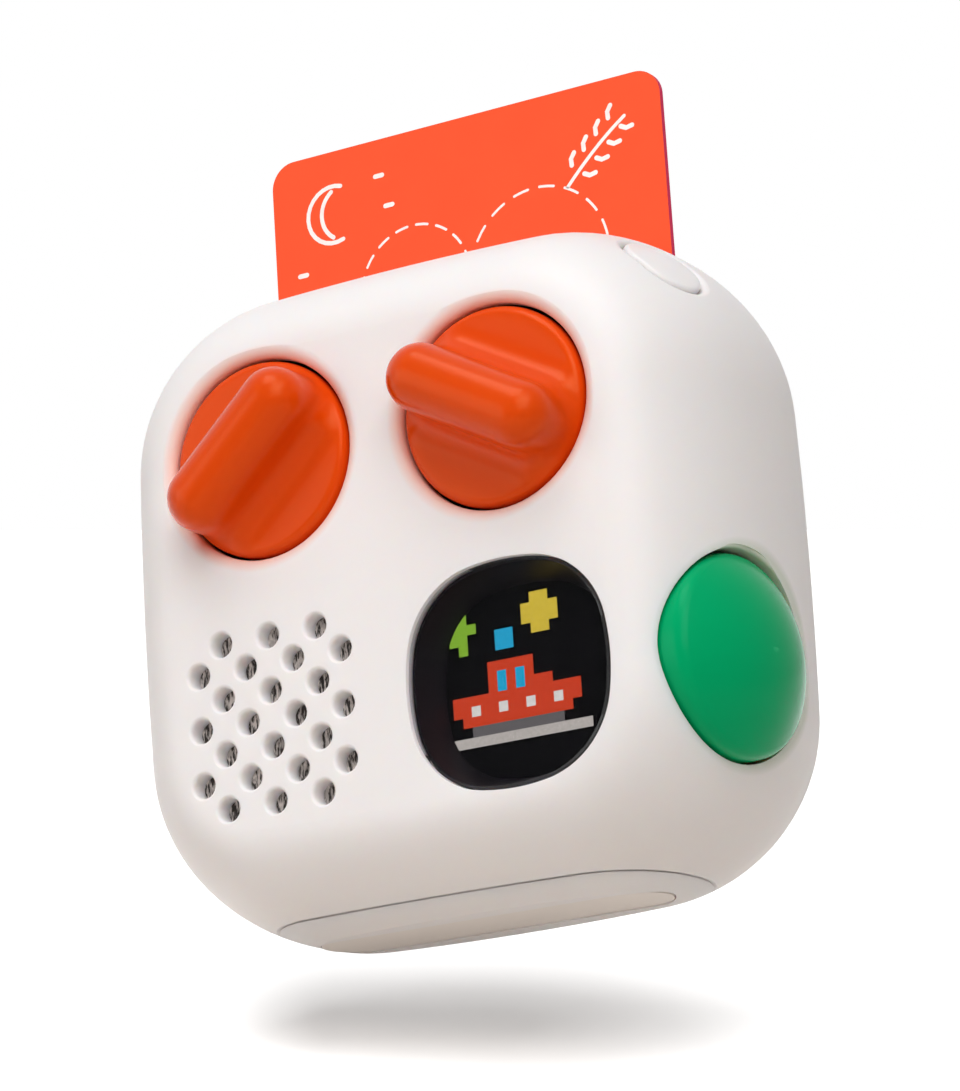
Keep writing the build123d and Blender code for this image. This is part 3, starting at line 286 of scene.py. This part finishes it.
def knob(name, turned, body):
    """A smooth knob in place of the plain one, with its bar turned that many degrees."""
    face_y, knob_radius, bar_end, weld_mm = -0.02075, 11.5, 7.0, 0.01
    round_spokes, side_spokes = 24, 20
    box_low, box_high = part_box(name)
    axle = Vector(
        ((box_low[0] + box_high[0]) / 2, face_y, (box_low[2] + box_high[2]) / 2)
    )
    along = Vector((cos(radians(turned)), 0, sin(radians(turned))))
    across = Vector((-along.z, 0, along.x))
    outward = Vector((0, -1, 0))
    spokes = []
    for i in range(round_spokes):
        spokes.append((bar_end, -pi / 2 + pi * i / round_spokes))
    for i in range(side_spokes):
        spokes.append((bar_end - 2 * bar_end * i / side_spokes, pi / 2))
    for i in range(round_spokes):
        spokes.append((-bar_end, pi / 2 + pi * i / round_spokes))
    for i in range(side_spokes):
        spokes.append((-bar_end + 2 * bar_end * i / side_spokes, 3 * pi / 2))
    verts, faces = [], []
    for start, angle in spokes:
        lean = start * cos(angle)
        reach = -lean + sqrt(knob_radius**2 - start**2 + lean**2)
        for distance, height in knob_profile(reach):
            u = start + distance * cos(angle)
            v = distance * sin(angle)
            verts.append(axle + (along * u + across * v + outward * height) / 1000)
    rows = len(verts) // len(spokes)
    for i in range(len(spokes)):
        j = (i + 1) % len(spokes)
        for k in range(rows - 1):
            faces.append((i * rows + k, i * rows + k + 1, j * rows + k + 1, j * rows + k))
    faces.append(tuple(i * rows + rows - 1 for i in range(len(spokes))))
    made = new_piece(name + "_smooth", verts, faces, abs_orange)
    weld = made.modifiers.new("weld", "WELD")
    weld.merge_threshold = weld_mm / 1000
    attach(made, body)
    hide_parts(name)


knob("knob_left", 42.0, "left_knob")
knob("knob_right", -29.0, "right_knob")

# ------------------------------------------------------------------ side button
# A dome moulded in green ABS that slides in a sleeve of the shell. A wire spring pushes
# it out, and its stem works a small switch on a board of its own.
# ABS, pigmented green and polished: a smooth, slightly wet look
abs_green = moulded(
    "ABS, green", "#00A567", rough=0.22, tint=0.03, grain_mm=0.3, bump_mm=0.003,
    gloss=0.07, glint="#B8FFF0", soft=0.1,
)
finish_nodes(abs_green, "side_button")
finish_nodes(steel, "side_button_spring")
# glass fibre board under green solder mask: cloudy dark green
board_green = moulded("Circuit board, green", "#1E6B45", rough=0.4, tint=0.15)
finish_nodes(board_green, "side_switch_board")
# black epoxy moulding compound: dull and even
chip_black = moulded("Epoxy, black", "#1C1C1E", rough=0.55, tint=0.1)
finish_nodes(chip_black, "side_switch")

# ------------------------------------------------------------------ power button
# A pill in the right shoulder, moulded in the shell's own white ABS. It slides in a hole
# of the shell and presses a switch of black epoxy that is soldered under it.
finish_nodes(abs_white, "power_button")
finish_nodes(chip_black, "power_switch")


# ------------------------------------------------------------------ screen lens
# A window of cast acrylic, cut to shape and ground round its edge. It lies flush in the
# shell's opening, in front of the display.
def square_on(tree):
    """1 on faces that look to the front or back, and less on edges cut across them."""
    facing = node(tree, "TexCoord", output="Normal")
    facing_y = node(tree, "SeparateXYZ", {0: facing}, output="Y")
    return node(tree, "Math", {0: facing_y}, operation="ABSOLUTE")


# acrylic, coated: it dims what is behind it a little, and its ground edge has a glint.
# The index of acrylic is 1.49, and 1.06 is matched to how little the coat mirrors.
lens_clear, tree = blank_material("Acrylic lens, clear")
through = node(tree, "BsdfTransparent", {"Color": colour("#EAEAEC")})
polish = node(tree, "BsdfGlossy", {"Color": colour("#FFFFFF"), "Roughness": 0.04})
sheen = node(tree, "Fresnel", {"IOR": 1.06})
edge_turn = {"Value": square_on(tree), "From Min": 0.93, "From Max": 0.75}
edge_turn.update({"To Min": 0.0, "To Max": 0.04})
ground_edge = node(tree, "MapRange", edge_turn)
share = node(tree, "Math", {0: sheen, 1: ground_edge}, operation="MAXIMUM")
pane = node(tree, "MixShader", {0: share, 1: through, 2: polish})
node(tree, "OutputMaterial", {"Surface": pane})
finish_nodes(lens_clear, "screen_lens")

# ------------------------------------------------------------------ display
# A colour panel of coarse square pixels, clipped into a black ABS frame behind the lens.
# Its board is bonded to its back, and a flat cable of polyimide goes to the main board.
# ABS, black: a dull frame that the eye passes over
abs_black = moulded("ABS, black", "#201D21", rough=0.35, tint=0.1, gloss=0.12)
finish_nodes(abs_black, "screen_bezel")
# display glass, unlit: as good as black
glass_black = moulded("Display glass, black", "#070608", rough=0.5, tint=0.1, gloss=0.02)
finish_nodes(glass_black, "display_panel")
finish_nodes(board_green, "display_board")
# polyimide film: clear amber with a dull shine
kapton = moulded("Polyimide, amber", "#B4691E", rough=0.3, tint=0.1)
finish_nodes(kapton, "display_ribbon")

# The picture on the display: a little boat under a sun, one lit square per pixel.
picture = [
    "................",
    "..........YY....",
    ".GG......YYYY...",
    "GGGG.....YYYY...",
    ".GG...CC..YY....",
    "..G...CC........",
    "................",
    ".....RRRRR......",
    ".....RCRCR......",
    ".....RCRCRRR....",
    ".RRRRRRRRRRRRRR.",
    ".RRWRRWRRWRRWRR.",
    "..RRRRRRRRRRRR..",
    "...DDDDDDDDDD...",
    "LLLLLLLLLLLLLLLL",
    "................",
]
pixel_colours = {
    "R": "#E0482A",
    "C": "#2BB4E0",
    "G": "#8FC23A",
    "Y": "#E8CC48",
    "W": "#F0EDE6",
    "L": "#C9C2BA",
    "D": "#6E6A6A",
}
pixel_mm, half_grid, speck_mm = 1.17, 8, 0.4
aside_mm, raised_mm, proud_mm = 1.9, 1.7, 0.03
low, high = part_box("display_panel")
picture_x = (low[0] + high[0]) / 2 * 1000 - aside_mm
picture_z = (low[2] + high[2]) / 2 * 1000 + raised_mm
picture_y = low[1] * 1000 - proud_mm
for letter, code in pixel_colours.items():
    # a lit pixel glows evenly, with the faint specks of its cells. Real cells are 0.1 mm
    # wide, and the specks are drawn coarser so that they show.
    glow, tree = blank_material("Display pixel " + code)
    place = node(tree, "TexCoord", output="Object")
    speck = node(
        tree, "TexNoise", {"Vector": place, "Scale": 1000 / speck_mm, "Detail": 2.0}
    )
    level = node(
        tree,
        "MapRange",
        {"Value": speck, "From Min": 0.3, "From Max": 0.7, "To Min": 0.85, "To Max": 1.0},
    )
    light = node(
        tree,
        "Mix",
        {0: level, 6: colour("#000000"), 7: colour(code)},
        output=2,
        data_type="RGBA",
    )
    shine = node(tree, "Emission", {"Color": light, "Strength": 1.1})
    node(tree, "OutputMaterial", {"Surface": shine})
    verts, faces = [], []
    for row, line in enumerate(picture):
        for column, mark in enumerate(line):
            if mark != letter:
                continue
            x = picture_x + (column - half_grid) * pixel_mm
            z = picture_z + (half_grid - row) * pixel_mm
            first = len(verts)
            for dx, dz in ((0, 0), (pixel_mm, 0), (pixel_mm, -pixel_mm), (0, -pixel_mm)):
                verts.append((Vector((x + dx, picture_y, z + dz))) / 1000)
            faces.append((first + 3, first + 2, first + 1, first))
    lit_pixels = new_piece("pixels_" + letter.lower(), verts, faces, glow, smooth=False)
    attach(lit_pixels, "case")

# ------------------------------------------------------------------ speaker
# A paper cone in a black ABS frame, with a steel-cased magnet behind. It is pressed on a
# foam gasket against the shell's grille, and flocked cloth is glued over the holes.
# flocked cloth: dark grey with pale fibres that lie one way. Real fibres are 0.02 mm
# thick, and they are drawn coarser so that they show through the holes.
cloth, tree = blank_material("Flocked cloth, dark grey")
fibre_mm, fibre_ratio, fibre_turn, nap_mm, strand_mm = 0.238, 0.22, radians(40), 0.12, 0.9
pile, tips = colour("#3A3634"), colour("#EAE3DE")
place = node(tree, "TexCoord", output="Object")
laid = node(
    tree,
    "Mapping",
    {"Vector": place, "Rotation": (0, fibre_turn, 0), "Scale": (1, 1, fibre_ratio)},
)
fibre = node(tree, "TexNoise", {"Vector": laid, "Scale": 1000 / fibre_mm, "Detail": 3.0})
strand = node(
    tree, "TexNoise", {"Vector": place, "Scale": 1000 / strand_mm, "Detail": 4.0}
)
raised = node(tree, "MapRange", {"Value": fibre, "From Min": 0.44, "From Max": 0.56})
fleck = node(tree, "Mix", {0: raised, 6: pile, 7: tips}, output=2, data_type="RGBA")
thin = node(
    tree,
    "MapRange",
    {"Value": strand, "From Min": 0.4, "From Max": 0.6, "To Min": 0.0, "To Max": 0.4},
)
tone = node(tree, "Mix", {0: thin, 6: fleck, 7: pile}, output=2, data_type="RGBA")
nap = node(tree, "Bump", {"Strength": 0.9, "Distance": nap_mm / 1000, "Height": fibre})
shader = node(
    tree, "BsdfPrincipled", {"Base Color": tone, "Roughness": 0.95, "Normal": nap}
)
node(tree, "OutputMaterial", {"Surface": shader})
finish_nodes(cloth, "speaker_mesh")
# cellular foam: dead black with open pores
foam_black = moulded(
    "Foam, black", "#1A1A1A", rough=0.95, tint=0.2, grain_mm=0.8, bump_mm=0.15
)
finish_nodes(foam_black, "speaker_gasket")
finish_nodes(abs_black, "speaker_frame")
# pressed paper pulp: dull and a little blotchy
paper_grey = moulded("Paper cone, dark grey", "#2A2A2C", rough=0.9, tint=0.15)
finish_nodes(paper_grey, "speaker_cone")
finish_nodes(steel, "speaker_magnet")

# ------------------------------------------------------------------ main board
# A green board of glass fibre with its chips, and with the USB port and the headphone
# jack soldered at its left edge. Steel screws hold it in the case.
finish_nodes(board_green, "main_board")
finish_nodes(chip_black, "board_parts")
finish_nodes(steel, "usb_port", "board_screws")
finish_nodes(abs_black, "audio_jack")

# ------------------------------------------------------------------ card guide
# A pocket moulded in black ABS that takes the card behind the slot. A flat antenna board
# is fixed to its back and reads the card.
finish_nodes(abs_black, "card_guide")
finish_nodes(board_green, "card_antenna")

# ------------------------------------------------------------------ battery
# A pouch cell in laminated foil, on a foam pad in a cradle of black ABS that is screwed
# in behind the card guide.
finish_nodes(abs_black, "battery_cradle")
# laminated foil: silver, softly creased
foil_silver = rolled_metal("Foil pouch, silver", "#C9CBCE", rough=0.4)
finish_nodes(foil_silver, "battery")
finish_nodes(foam_black, "battery_pad")
finish_nodes(steel, "cradle_screws")

# ------------------------------------------------------------------ rear cover
# The shallow back half of the case, moulded in the same white ABS. Four steel screws
# in deep holes hold it to the front shell.
finish_nodes(abs_white, "rear_cover")
finish_nodes(steel, "shell_screws")

# ------------------------------------------------------------------ foot
# A plate of white ABS screwed under the case, with a strip of TPE let into it so that
# the player doesn't slide.
finish_nodes(abs_white, "base_plate")
finish_nodes(steel, "base_screws")
# TPE, moulded: white, duller than the shell
tpe_white = moulded("TPE, warm white", "#F0EAE5", rough=0.6, tint=0.02)
finish_nodes(tpe_white, "base_inlay")

# ------------------------------------------------------------------ story card
# A card of bank-card size, punched from laminated PVC sheet. It stands loose in the
# slot, and its orange face is its outer sheet.
# PVC: an even, silky orange with a magenta core that shows on the cut edge
pvc, tree = blank_material("PVC card, orange face and magenta edge")
blotch_mm, skin_mm, skin_deep_mm = 6.0, 0.4, 0.002
place = node(tree, "TexCoord", output="Object")
flatness = square_on(tree)
blotch = node(
    tree, "TexNoise", {"Vector": place, "Scale": 1000 / blotch_mm, "Detail": 3.0}
)
blotched = node(tree, "MapRange", {"Value": blotch, "From Min": 0.3, "From Max": 0.7})
sheet, sheet_pale, core = colour("#FE5A35"), colour("#FF5C36"), colour("#D8325E")
face_tone = node(
    tree, "Mix", {0: blotched, 6: sheet, 7: sheet_pale}, output=2, data_type="RGBA"
)
on_face = node(tree, "MapRange", {"Value": flatness, "From Min": 0.4, "From Max": 0.6})
card_tone = node(
    tree, "Mix", {0: on_face, 6: core, 7: face_tone}, output=2, data_type="RGBA"
)
skin = node(tree, "TexNoise", {"Vector": place, "Scale": 1000 / skin_mm, "Detail": 3.0})
bump = node(
    tree, "Bump", {"Strength": 0.3, "Distance": skin_deep_mm / 1000, "Height": skin}
)
shader = node(
    tree,
    "BsdfPrincipled",
    {"Base Color": card_tone, "Roughness": 0.5, "Specular IOR Level": 0.08, "Normal": bump},
)
node(tree, "OutputMaterial", {"Surface": shader})
finish_nodes(pvc, "story_card")

# ------------------------------------------------------------------ print on the card
# Line drawings in white ink, screen printed on the orange face: a crescent with dots,
# two dashed hills and a leaf sprig.
# screen ink: thin, flat and a little uneven
ink, tree = blank_material("Screen ink, white")
patch_mm, ink_mm = 1.5, 0.015
place = node(tree, "TexCoord", output="Object")
patchy = node(
    tree, "TexNoise", {"Vector": place, "Scale": 1000 / patch_mm, "Detail": 3.0}
)
ink_share = node(tree, "MapRange", {"Value": patchy, "From Min": 0.3, "From Max": 0.7})
thin_ink, full_ink = colour("#FBEFEA"), colour("#FFFAF7")
ink_tone = node(
    tree, "Mix", {0: ink_share, 6: thin_ink, 7: full_ink}, output=2, data_type="RGBA"
)
shader = node(tree, "BsdfPrincipled", {"Base Color": ink_tone, "Roughness": 0.5})
node(tree, "OutputMaterial", {"Surface": shader})
low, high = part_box("story_card")
card_top = high[2] * 1000
print_y = low[1] * 1000 - ink_mm
ink_verts, ink_faces = [], []


def stroke(points, width):
    """A round-ended line of ink through points (mm) from the middle of the card's top."""
    count, cap_steps = len(points), 6
    sides = [[], []]
    for i in range(count):
        before, after = points[max(i - 1, 0)], points[min(i + 1, count - 1)]
        along = Vector((after[0] - before[0], after[1] - before[1])).normalized()
        across = Vector((-along.y, along.x)) * width / 2
        sides[0].append(Vector(points[i]) + across)
        sides[1].append(Vector(points[i]) - across)
    edge = []
    ends = ((sides[0], points[-1], points[-2]), (sides[1][::-1], points[0], points[1]))
    for side, tip, near in ends:
        forward = Vector((tip[0] - near[0], tip[1] - near[1])).normalized()
        across = Vector((-forward.y, forward.x))
        edge += side
        for i in range(1, cap_steps):
            t = pi / 2 - pi * i / cap_steps
            edge.append(Vector(tip) + (forward * cos(t) + across * sin(t)) * width / 2)
    first = len(ink_verts)
    for spot in edge:
        ink_verts.append(Vector((spot.x, print_y, card_top + spot.y)) / 1000)
    ink_faces.append(tuple(range(first, first + len(edge))))


def arc(x, z, radius, start, end, steps=16):
    """Points on an arc, with its angles in degrees."""
    turns = [radians(start + (end - start) * i / steps) for i in range(steps + 1)]
    return [(x + radius * cos(t), z + radius * sin(t)) for t in turns]


# crescent and dots, top left
stroke(arc(-18.5, -8.0, 3.6, 70, 290), 0.55)
stroke(arc(-16.6, -8.0, 3.55, 125, 235), 0.55)
for x, z in ((-11.8, -4.6), (-10.6, -8.6), (-23.2, -14.8), (-20.6, -17.4)):
    stroke([(x - 0.5, z), (x + 0.5, z)], 0.6)
# dashed hills, across the middle
dashes, first_dash, dash_step, dash_turn, dash_mm = 8, 172, 21.5, 12, 0.32
for hill_x, hill_radius, hill_z in ((-7.5, 7.6, -19.5), (9.5, 9.4, -20.5)):
    for i in range(dashes):
        start = first_dash - i * dash_step
        stroke(arc(hill_x, hill_z, hill_radius, start, start - dash_turn, 6), dash_mm)
# leaf sprig, top right
stroke([(14.0 + 0.9 * i, -12.0 + 0.95 * i - 0.02 * i * i) for i in range(10)], 0.45)
for i in range(4):
    x, z = 15.4 + 1.75 * i, -10.4 + 1.55 * i
    stroke([(x + 0.9, z - 0.5), (x + 1.6, z - 0.85), (x + 2.4, z - 0.7)], 0.6)
    stroke([(x - 0.7, z + 0.9), (x - 0.75, z + 1.7), (x - 0.3, z + 2.4)], 0.6)
print_on_card = new_piece("card_print", ink_verts, ink_faces, ink, smooth=False)
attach(print_on_card, "card")

# ------------------------------------------------------------------ camera
# A long lens, low on the right and looking up at the case. Its axes and the place of its
# eye are given in the case's own frame, in metres.
right = Vector((0.85786, 0.51012, -0.06207))
up = Vector((0.18200, -0.18866, 0.96503))
ahead = Vector((-0.48057, 0.83916, 0.25469))
eye = Vector((0.25433, -0.44208, -0.08984))
camera_data = bpy.data.cameras.new("camera")
camera_data.lens = 150.07
camera_data.sensor_width = 36.0
camera_data.clip_start = 0.01
camera = bpy.data.objects.new("camera", camera_data)
bpy.context.scene.collection.objects.link(camera)
turn = Matrix((right, up, -ahead)).transposed().to_4x4()
camera.matrix_world = Matrix.Translation(eye) @ turn
bpy.context.scene.camera = camera
bpy.context.scene.view_settings.view_transform = "Standard"


# ------------------------------------------------------------------ floor
# The case hangs above a pale floor, which is level as the camera sees it, so in the
# case's own frame it leans. Its back is clear, so it hides nothing from behind.
def looked_at(tree):
    """1 where the camera sees a thing, straight or in metal and glass, else 0."""
    straight = node(tree, "LightPath", output="Is Camera Ray")
    mirrored = node(tree, "LightPath", output="Is Glossy Ray")
    through = node(tree, "LightPath", output="Is Transmission Ray")
    either = node(tree, "Math", {0: straight, 1: mirrored}, operation="MAXIMUM")
    return node(tree, "Math", {0: either, 1: through}, operation="MAXIMUM")


middle = Vector((0, 0, 0.03835))
floor_lean, floor_drop, floor_radius, floor_sides = radians(4), 0.0516, 0.9, 96
floor_up = (up * cos(floor_lean) - ahead * sin(floor_lean)).normalized()
# matt emulsion: white where it is seen, and it lights the case a little less and warmer
floor_paint, tree = blank_material("Studio floor, white")
seen = looked_at(tree)
bounce, white = colour("#DFD6CD"), colour("#FAFAFA")
paint_tone = node(tree, "Mix", {0: seen, 6: bounce, 7: white}, output=2, data_type="RGBA")
paint = node(tree, "BsdfDiffuse", {"Color": paint_tone})
# Where the camera sees it, the floor gets a painted glow that pales it into the background.
# The glow is weaker in an oval under the case, so that oval is painted shadow laid round
# the cast one. Each way has the lines (m) between which the glow comes on, and the painted
# shadow is longer to the right than to the left.
place = node(tree, "TexCoord", output="Object")
floor_x = node(tree, "SeparateXYZ", {0: place}, output="X")
floor_y = node(tree, "SeparateXYZ", {0: place}, output="Y")
ways = []
for across_floor, start, end, start_share, end_share in (
    (floor_x, -0.036, -0.017, 1.7, 0.0),
    (floor_x, 0.0, 0.05, 0.0, 1.5),
    (floor_y, -0.08, 0.1, -2.0, 2.0),
):
    way = {"Value": across_floor, "From Min": start, "From Max": end}
    way.update({"To Min": start_share, "To Max": end_share})
    ways.append(node(tree, "MapRange", way))
to_left, to_right, to_back = ways
sideways = node(tree, "Math", {0: to_left, 1: to_right}, operation="ADD")
offset = node(tree, "CombineXYZ", {0: sideways, 1: to_back})
from_painted_shadow = node(tree, "VectorMath", {0: offset}, output="Value", operation="LENGTH")
glow_outside_painted_shadow = node(
    tree,
    "MapRange",
    {"Value": from_painted_shadow, "From Min": 0.2, "From Max": 1.7, "To Min": 0.33, "To Max": 0.95},
)
# painted glow on the floor as the camera sees it, weak inside the painted shadow oval
seen_painted_glow = node(tree, "Math", {0: seen, 1: glow_outside_painted_shadow}, operation="MULTIPLY")
painted_glow = node(tree, "Emission", {"Color": colour("#FFFFFF"), "Strength": seen_painted_glow})
pale = node(tree, "AddShader", {0: paint, 1: painted_glow})
clear = node(tree, "BsdfTransparent")
underneath = node(tree, "NewGeometry", output="Backfacing")
surface = node(tree, "MixShader", {0: underneath, 1: pale, 2: clear})
node(tree, "OutputMaterial", {"Surface": surface})
turns = [2 * pi * i / floor_sides for i in range(floor_sides)]
ring = [(floor_radius * cos(t), floor_radius * sin(t), 0) for t in turns]
floor = new_piece("floor", ring, [tuple(range(floor_sides))], floor_paint, smooth=False)
floor_right = (right - floor_up * right.dot(floor_up)).normalized()
spin = Matrix((floor_right, floor_up.cross(floor_right), floor_up)).transposed().to_4x4()
floor.matrix_world = Matrix.Translation(middle - floor_up * floor_drop) @ spin

# ------------------------------------------------------------------ background and lamps
# A white background that lights the case only a little, from all round, and four square
# softboxes: two overhead, one high in front and one at the left.
world = bpy.data.worlds.new("studio")
bpy.context.scene.world = world
world.use_nodes = True
tree = world.node_tree
tree.nodes.clear()
in_view = node(tree, "Background", {"Color": colour("#FFFFFF"), "Strength": 1.0})
fill = node(tree, "Background", {"Color": colour("#FFF6F0"), "Strength": 0.12})
sky = node(tree, "MixShader", {0: looked_at(tree), 1: fill, 2: in_view})
node(tree, "OutputWorld", {"Surface": sky})

softboxes = (  # name, metres to the right, up and towards the camera, side (m), watts
    ("top softbox", (-0.22, 0.85, 0.2), 0.45, 2.8),
    ("top right softbox", (0.15, 0.75, 0.45), 0.45, 1.5),
    ("high front softbox", (0.06, 0.55, 0.68), 0.55, 3.3),
    ("left softbox", (-0.9, 0.1, 0.25), 0.6, 2.1),
)
for name, stand, side, power in softboxes:
    lamp_data = bpy.data.lights.new(name, "AREA")
    lamp_data.shape = "SQUARE"
    lamp_data.size = side
    lamp_data.energy = power
    lamp = bpy.data.objects.new(name, lamp_data)
    bpy.context.scene.collection.objects.link(lamp)
    spot = middle + right * stand[0] + up * stand[1] - ahead * stand[2]
    aim = (middle - spot).to_track_quat("-Z", "Y").to_matrix().to_4x4()
    lamp.matrix_world = Matrix.Translation(spot) @ aim
